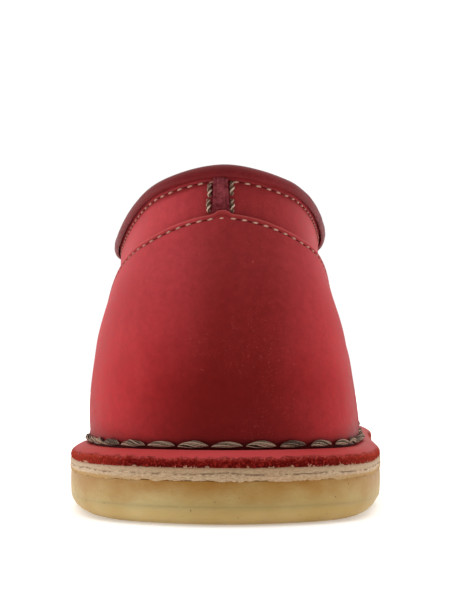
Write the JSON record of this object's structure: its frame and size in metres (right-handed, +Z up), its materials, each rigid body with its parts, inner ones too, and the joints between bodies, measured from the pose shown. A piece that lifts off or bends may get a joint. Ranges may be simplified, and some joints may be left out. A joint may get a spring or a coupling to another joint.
{
  "type": "lace-up shoe",
  "caption": "Low red leather lace-up shoe for the right foot, stitched down with thick thread on a flat honey-coloured crepe sole, with a bound collar and a heel counter.",
  "frame": {"origin": "on the floor, below the middle of the sole's length and width", "axes": "+Y towards the toe, +X towards the outer side of the foot, +Z up"},
  "size_m": [0.107, 0.298, 0.0959],
  "materials": {
    "upper_leather": "waxed, semi-gloss, fine grain",
    "binding_leather": "soft satin, rolled",
    "strip_leather": "rough suede",
    "runner_leather": "fibrous cut edge",
    "crepe": "translucent, matte",
    "insole_leather": "matte",
    "eyelet_brass": "aged",
    "lace_cotton": "waxed cotton"
  },
  "bodies": {
    "root": {"crepe_outsole": "crepe", "crepe_wedge": "crepe", "midsole": "runner_leather", "insole": "insole_leather", "upper": "upper_leather", "tongue": "upper_leather", "heel_counter": "upper_leather", "back_strip": "strip_leather", "collar_binding": "binding_leather", "eyelet_outer_1": "eyelet_brass", "eyelet_inner_1": "eyelet_brass", "eyelet_outer_2": "eyelet_brass", "eyelet_inner_2": "eyelet_brass", "eyelet_outer_3": "eyelet_brass", "eyelet_inner_3": "eyelet_brass", "lace_bar_1": "lace_cotton", "lace_bar_2": "lace_cotton", "lace_bar_3": "lace_cotton"}
  },
  "joints": []
}
